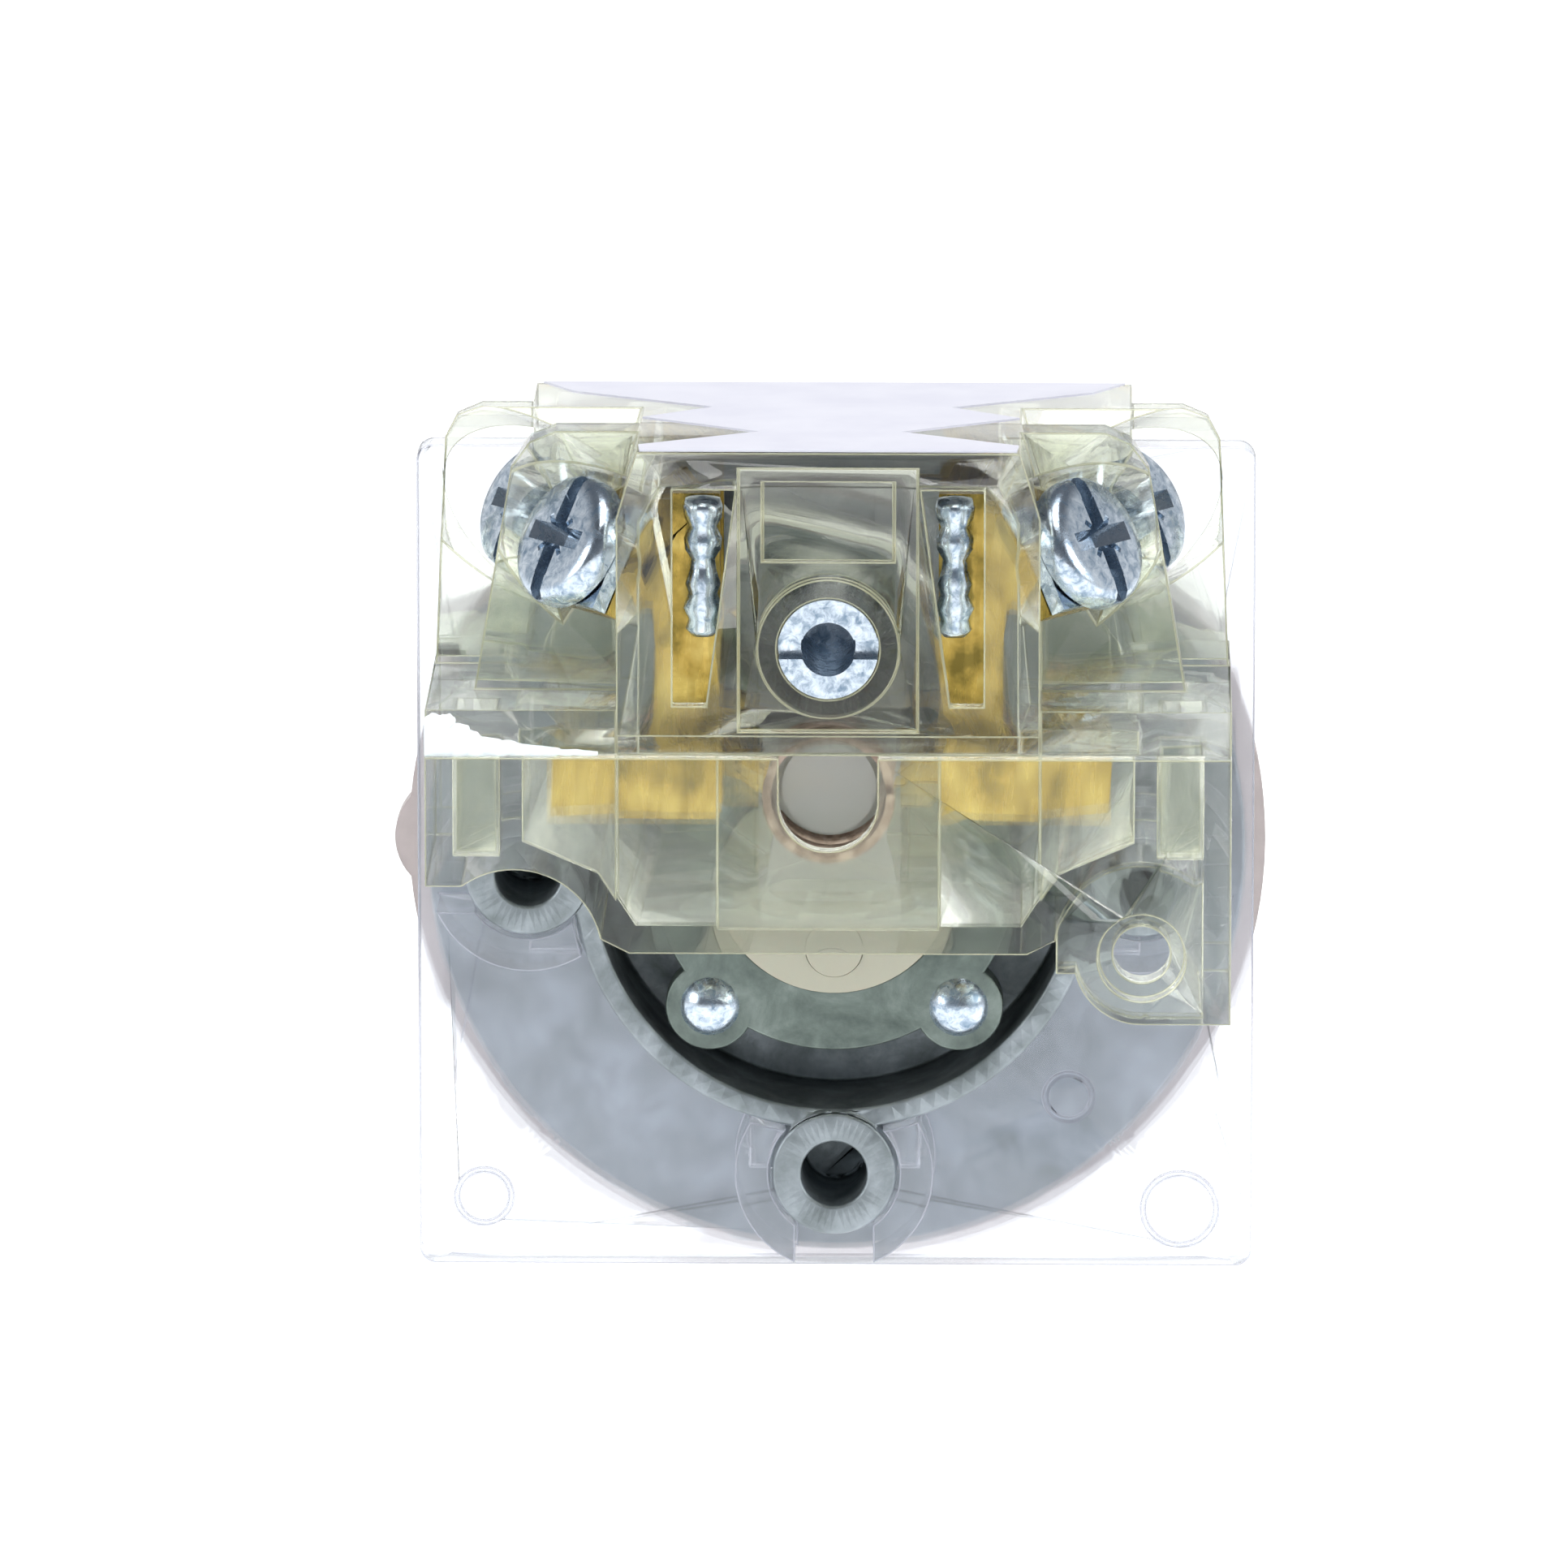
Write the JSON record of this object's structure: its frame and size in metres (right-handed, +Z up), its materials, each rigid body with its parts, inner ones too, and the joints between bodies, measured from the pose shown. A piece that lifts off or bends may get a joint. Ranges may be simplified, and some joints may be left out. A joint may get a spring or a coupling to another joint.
{
  "type": "selector key switch",
  "caption": "Key-operated selector switch for a round panel hole, with lock, face cam, clear guard plate and a clear plug-on contact block.",
  "frame": {"origin": "operator axis where it meets the panel's rear face, at the gasket's front", "axes": "+Y through the panel towards the key, +Z up towards the contact block's side"},
  "size_m": [0.0494, 0.0774, 0.0525],
  "materials": {
    "zinc_casting": "die-cast zinc, dull grey-green",
    "zinc_plated": "zinc-plated steel",
    "chrome": "bright nickel-chrome plate",
    "gasket_rubber": "translucent silicone rubber",
    "seal_rubber": "black nitrile",
    "clear_guard": "clear moulded polycarbonate",
    "clear_housing": "clear polycarbonate, faint yellow-green",
    "clear_slider": "frosted natural plastic",
    "cream_plastic": "natural acetal",
    "brass": "bare sheet brass",
    "contact_silver": "brass with copper-backed contact rivets",
    "spring_steel": "music wire, lightly tinted",
    "label_foil": "white polyester label",
    "sealant": "white cured sealant",
    "lock_brass": "machined brass, satin nickel",
    "key_nickel": "nickel-plated brass",
    "cam_plastic": "glass-filled nylon"
  },
  "bodies": {
    "operator": {"operator_body": "zinc_casting", "retainer": "zinc_casting", "panel_gasket": "gasket_rubber", "guard_plate": "clear_guard", "lock_shell": "zinc_plated", "lock_seal": "seal_rubber", "bezel": "chrome", "wave_washer": "spring_steel", "retainer_rivets": "zinc_casting", "pusher_guide": "cream_plastic", "block_cover": "clear_housing", "block_base": "clear_housing", "block_label": "label_foil", "sealant_bead": "sealant", "mounting_tube": "zinc_plated", "return_spring": "spring_steel", "no_spring": "spring_steel", "nc_spring": "spring_steel", "terminal_pillars": "zinc_plated", "terminal_rear_left": "brass", "terminal_rear_right": "brass", "terminal_front_left": "brass", "terminal_front_right": "brass"},
    "rotor": {"lock_plug": "lock_brass", "tumbler_wafers": "brass", "wafer_springs": "spring_steel", "selector_cam": "cam_plastic"},
    "key": {"key": "key_nickel"},
    "upper_pin": {"upper_push_pin": "zinc_plated"},
    "lower_pin": {"lower_push_pin": "zinc_plated"},
    "slider": {"plunger": "clear_slider"},
    "make_bridge": {"no_bridge": "contact_silver"},
    "break_bridge": {"nc_bridge": "contact_silver"},
    "panel_nut": {"ring_nut": "chrome", "thrust_washer": "zinc_plated"},
    "wire_screw_rear_left": {"screw_rear_left": "zinc_plated", "clamp_rear_left": "zinc_plated"},
    "wire_screw_rear_right": {"screw_rear_right": "zinc_plated", "clamp_rear_right": "zinc_plated"},
    "wire_screw_front_left": {"screw_front_left": "zinc_plated", "clamp_front_left": "zinc_plated"},
    "wire_screw_front_right": {"screw_front_right": "zinc_plated", "clamp_front_right": "zinc_plated"}
  },
  "joints": [
    {"name": "key_turn", "type": "hinge", "parent": "operator", "child": "rotor", "pos_m": [0, 0, 0], "axis": [0, -1, 0], "range_deg": [0, 90]},
    {"name": "key_pull", "type": "slide", "parent": "rotor", "child": "key", "axis": [0, 1, 0], "range_m": [0, 0.026]},
    {"name": "upper_pin_slide", "type": "slide", "parent": "operator", "child": "upper_pin", "axis": [0, -1, 0], "range_m": [0, 0.0032]},
    {"name": "lower_pin_slide", "type": "slide", "parent": "operator", "child": "lower_pin", "axis": [0, -1, 0], "range_m": [0, 0.0032]},
    {"name": "slider_travel", "type": "slide", "parent": "operator", "child": "slider", "axis": [0, -1, 0], "range_m": [0, 0.0032], "deforming": ["return_spring"]},
    {"name": "make_travel", "type": "slide", "parent": "operator", "child": "make_bridge", "axis": [0, -1, 0], "range_m": [0, 0.0022], "deforming": ["no_spring"]},
    {"name": "break_travel", "type": "slide", "parent": "operator", "child": "break_bridge", "axis": [0, -1, 0], "range_m": [0, 0.0025], "deforming": ["nc_spring"]},
    {"name": "ring_nut_travel", "type": "slide", "parent": "operator", "child": "panel_nut", "axis": [0, 1, 0], "range_m": [0, 0.0016]},
    {"name": "wire_screw_rear_left_lift", "type": "slide", "parent": "operator", "child": "wire_screw_rear_left", "axis": [-0.7245, -0.5187, 0.454], "range_m": [0, 0.002]},
    {"name": "wire_screw_rear_right_lift", "type": "slide", "parent": "operator", "child": "wire_screw_rear_right", "axis": [0.7245, -0.5187, 0.454], "range_m": [0, 0.002]},
    {"name": "wire_screw_front_left_lift", "type": "slide", "parent": "operator", "child": "wire_screw_front_left", "axis": [-0.7245, -0.5187, 0.454], "range_m": [0, 0.002]},
    {"name": "wire_screw_front_right_lift", "type": "slide", "parent": "operator", "child": "wire_screw_front_right", "axis": [0.7245, -0.5187, 0.454], "range_m": [0, 0.002]}
  ],
  "couplings": [
    {"joint": "upper_pin_slide", "follows": "key_turn", "m_per_rad": 0.0020372},
    {"joint": "lower_pin_slide", "follows": "key_turn", "m_per_rad": 0.0020372},
    {"joint": "slider_travel", "follows": "key_turn", "m_per_rad": 0.0020372},
    {"joint": "make_travel", "follows": "key_turn", "m_per_rad": 0.0014006},
    {"joint": "break_travel", "follows": "key_turn", "m_per_rad": 0.0015915}
  ]
}
